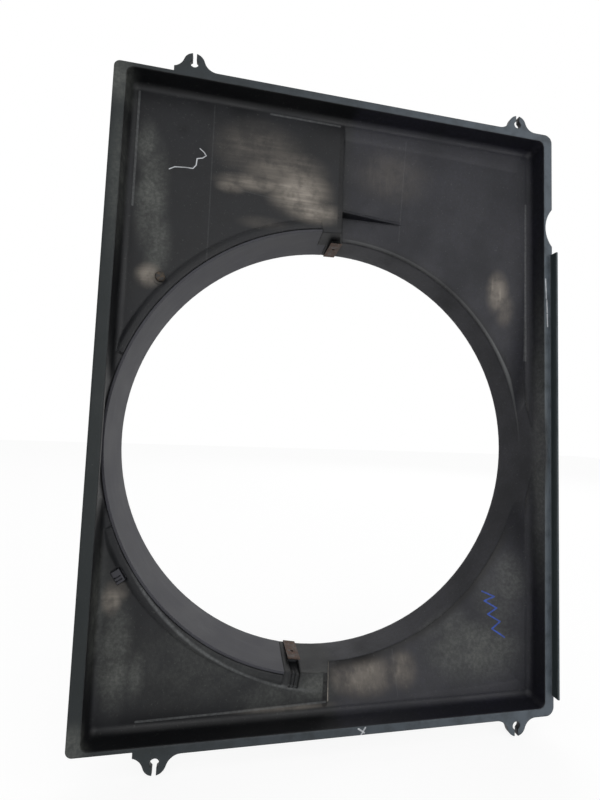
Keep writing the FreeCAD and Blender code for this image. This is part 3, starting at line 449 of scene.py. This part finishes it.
# half ring: glass-filled nylon, injection moulded, so an even matt grey with faint smears
ringLook = {
    "grey": "#26262c",
    "light": "#34343a",
    "smear": "#46484e",
    "ior": 1.53,
    "specular": 0.35,
    "metallic": 0.0,
    "roughness": (0.5, 0.62),
    "edgeRadius": 0.8,             # mm
    "lift": 0.03,                  # mm
    "cloud": (45, 0.3, 0.7),       # grain in mm, where the noise is cut
    "smears": (8, 0.45, 0.75, 4, (6, 1, 6)),
    "skin": (1.4, 0.2, 0.8, 2),    # the real grain is about 0.3 mm, drawn coarser to show
    "edgeWear": (0.9, 0.02, 0.3),
    "smearStrength": 0.25, "edgeStrength": 0.3,
}


def mouldedRing(look):
    # two greys in large clouds, smears over them, and edges rubbed a little
    material, tree = newMaterial("nylonGlassFilledMattGrey")
    point = millimetres(tree)
    cloudy = mottle(tree, point, *look["cloud"])
    smears = mottle(tree, point, *look["smears"])
    colour = layers(tree, look["grey"], [
        (cloudy, look["light"]),
        (product(tree, smears, look["smearStrength"]), look["smear"]),
        (product(tree, edgeMask(tree, *look["edgeWear"]), look["edgeStrength"]), look["smear"]),
    ])
    rough = addNode(tree, "MapRange", None, {
        "Value": cloudy, **span((0, 1), look["roughness"])})
    finishSurface(tree, look, colour, rough, mottle(tree, point, *look["skin"]))
    return material


dress("half_ring", mouldedRing(ringLook))
print("half ring dressed")

# plate that closes the clip slot from behind, in the shroud's plastic
pocket = {
    "clipAngle": 170.9,            # degrees round the fan's axis, from straight up over the left
    "width": 13.8,                 # mm
    # corners of the bent plate in (radius, depth), mm: a leg along the duct, a leg outwards
    "section": [(228.45, 43.0), (230.3, 23.75), (245.6, 23.75),
                (245.6, 25.6), (232.3, 25.6), (230.4, 43.0)],
}


def slotPocket(look):
    # a closed section in (radius, depth), carried straight across the slot between two flat ends
    angle = math.radians(look["clipAngle"])
    outward = np.array([-math.sin(angle), 0.0, math.cos(angle)])
    across = np.array([math.cos(angle), 0.0, math.sin(angle)])
    rearward = np.array([0.0, 1.0, 0.0])
    plan = np.array(look["section"])
    middle = np.array(fanAxis) + plan[:, :1] * outward + plan[:, 1:] * rearward
    half = look["width"] / 2
    rims = np.vstack([middle - half * across, middle + half * across])
    count = len(plan)
    ring = np.arange(count)
    after = np.roll(ring, -1)
    sides = np.stack([ring, after, after + count, ring + count], axis=1).tolist()
    ends = [[0, 1, 4, 5], [1, 2, 3, 4]]  # one face for each leg
    faces = sides + ends + [[i + count for i in reversed(end)] for end in ends]
    mesh = bpy.data.meshes.new("shroud_clip_pocket")
    mesh.from_pydata((rims * mm).tolist(), [], faces)
    piece = bpy.data.objects.new("shroud_clip_pocket", mesh)
    bpy.context.scene.collection.objects.link(piece)
    bm = bmesh.new()
    bm.from_mesh(mesh)
    bmesh.ops.recalc_face_normals(bm, faces=bm.faces)
    bm.to_mesh(mesh)
    bm.free()
    return piece


slotBox = slotPocket(pocket)
slotBox.data.materials.append(shroudPlastic)
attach(slotBox, "shroud")
print("slot pocket made")

# spring clips: spring steel strip, its phosphate coat rusted through, so brown, dull and pitted
clipLook = {
    "coat": "#37322f",
    "rust": "#54443c",
    "orange": "#6e4c3e",
    "pit": "#1d1513",
    "metallic": 0.3,
    "roughness": (0.55, 0.88),
    "edgeRadius": 0.25,            # mm
    "lift": 0.12,                  # mm, depth of the pits
    "bloom": (5, 0.35, 0.6, 8),    # grain in mm, where the noise is cut, detail
    "flare": (2.2, 0.5, 0.75, 8),
    "pits": (1.2, 0.55, 0.7, 6),
    "pitStrength": 0.7,
}


def rustedSteel(look):
    # coat, rust, orange flares and pits, one over the other
    material, tree = newMaterial("springSteelRusted")
    point = millimetres(tree)
    bloom = mottle(tree, point, *look["bloom"])
    pits = mottle(tree, point, *look["pits"])
    colour = layers(tree, look["coat"], [
        (bloom, look["rust"]),
        (mottle(tree, point, *look["flare"]), look["orange"]),
        (product(tree, pits, look["pitStrength"]), look["pit"]),
    ])
    rough = addNode(tree, "MapRange", None, {
        "Value": bloom, **span((0, 1), look["roughness"])})
    relief = addNode(tree, "Bump", None, {
        "Strength": 1.0, "Distance": look["lift"] * mm, "Height": pits,
        "Normal": roundedNormal(tree, look["edgeRadius"])})
    shader = addNode(tree, "BsdfPrincipled", None, {
        "Base Color": colour, "Metallic": look["metallic"], "Roughness": rough,
        "Normal": relief})
    addNode(tree, "OutputMaterial", None, {"Surface": shader})
    return material


clipSteel = rustedSteel(clipLook)
dress("spring_clip_upper", clipSteel)
dress("spring_clip_lower", clipSteel)
print("clips dressed")

# push rivet: black nylon, caked with brown dirt
rivetLook = {
    "black": "#121213",
    "dirt": "#564a3d",
    "ior": 1.53,
    "specular": 0.4,
    "metallic": 0.0,
    "roughness": (0.5, 0.9),
    "edgeRadius": 0.4,             # mm
    "lift": 0.15,                  # mm, thickness of the dirt
    "cake": (2.6, 0.38, 0.62, 8),  # grain in mm, where the noise is cut, detail
    "cakeStrength": 0.75,
}


def dirtyNylon(look):
    # dirt in lumps over the nylon, rougher and higher where it is thick
    material, tree = newMaterial("nylonPushRivetDirty")
    cake = mottle(tree, millimetres(tree), *look["cake"])
    colour = layers(tree, look["black"], [
        (product(tree, cake, look["cakeStrength"]), look["dirt"])])
    rough = addNode(tree, "MapRange", None, {
        "Value": cake, **span((0, 1), look["roughness"])})
    finishSurface(tree, look, colour, rough, cake)
    return material


dress("push_rivet", dirtyNylon(rivetLook))
print("rivet dressed")

# floor, lamps and world
studio = {
    "floorSide": 12.0,          # metres
    "floorDrop": 0.0005,        # metres under the lowest ear
    "floorGlow": 0.86,          # the plain white part of the floor, the rest shows the shadow
    "floorPaint": "#f4f4f4",    # what the object sees
    "floorShade": "#808080",    # what the camera sees on top of the glow
    "ambient": 0.5,             # world strength on surfaces
    "lamps": {
        "key": {"at": (0.8, -2.6, 0.0), "size": 3.2, "power": 36},
        "fill": {"at": (0.1, -1.7, -0.2), "size": 2.0, "power": 10},
        "rear": {"at": (1.2, 2.2, 1.6), "size": 2.4, "power": 10},
    },
}


def whiteRays(tree):
    # 1 for rays that come from the camera, a glossy surface or a transmission
    seen = addNode(tree, "LightPath", out="Is Camera Ray")
    mirrored = addNode(tree, "LightPath", out="Is Glossy Ray")
    passed = addNode(tree, "LightPath", out="Is Transmission Ray")
    either = addNode(tree, "Math", {"operation": "MAXIMUM"}, {0: seen, 1: mirrored})
    return addNode(tree, "Math", {"operation": "MAXIMUM"}, {0: either, 1: passed})


def makeFloor(look):
    # a square just under the lowest point: white rays see a glow plus a soft shade that keeps
    # the shadow, all others see plain paint
    bottom = cadBox[0].z - look["floorDrop"]
    half = look["floorSide"] / 2
    mesh = bpy.data.meshes.new("studioFloor")
    mesh.from_pydata([(-half, -half, bottom), (half, -half, bottom),
                      (half, half, bottom), (-half, half, bottom)], [], [(0, 1, 2, 3)])
    floor = bpy.data.objects.new("studioFloor", mesh)
    bpy.context.scene.collection.objects.link(floor)
    material, tree = newMaterial("studioFloorWhite")
    paint = addNode(tree, "BsdfDiffuse", None, {"Color": look["floorPaint"]})
    glow = addNode(tree, "Emission", None, {"Color": "#ffffff", "Strength": look["floorGlow"]})
    shade = addNode(tree, "BsdfDiffuse", None, {"Color": look["floorShade"]})
    seen = addNode(tree, "AddShader", None, {0: glow, 1: shade})
    both = addNode(tree, "MixShader", None, {0: whiteRays(tree), 1: paint, 2: seen})
    addNode(tree, "OutputMaterial", None, {"Surface": both})
    mesh.materials.append(material)
    return floor


def makeWorld(look):
    # white for white rays, the ambient strength for all others
    world = bpy.data.worlds.new("studioWorld")
    bpy.context.scene.world = world
    world.use_nodes = True
    tree = world.node_tree
    tree.nodes.clear()
    strength = addNode(tree, "MapRange", None, {
        "Value": whiteRays(tree), **span((0, 1), (look["ambient"], 1.0))})
    backdrop = addNode(tree, "Background", None, {"Color": "#ffffff", "Strength": strength})
    addNode(tree, "OutputWorld", None, {"Surface": backdrop})


def makeLamp(name, look):
    # a round area lamp, turned towards the origin
    lamp = bpy.data.lights.new(name + "Lamp", "AREA")
    lamp.shape, lamp.size = "DISK", look["size"]
    lamp.energy = look["power"]
    lampObject = bpy.data.objects.new(name + "Lamp", lamp)
    bpy.context.scene.collection.objects.link(lampObject)
    lampObject.location = look["at"]
    lampObject.rotation_euler = (-Vector(look["at"])).to_track_quat("-Z", "Y").to_euler()


floor = makeFloor(studio)
makeWorld(studio)
for name, lampLook in studio["lamps"].items():
    makeLamp(name, lampLook)
print("studio lit")

view = {
    "at": (-135.66, -402.26, -27.84),     # mm
    "turn": (93.872, -2.135, -10.644),    # degrees
    "lens": 18.783,                       # mm
    "nearest": 0.01,                      # metres
}
camera = bpy.data.objects.new("camera", bpy.data.cameras.new("camera"))
bpy.context.scene.collection.objects.link(camera)
camera.data.lens = view["lens"]
camera.data.clip_start = view["nearest"]
camera.location = Vector(view["at"]) * mm
camera.rotation_euler = [math.radians(angle) for angle in view["turn"]]
bpy.context.scene.camera = camera
bpy.context.scene.view_settings.view_transform = "Standard"
print("camera set")
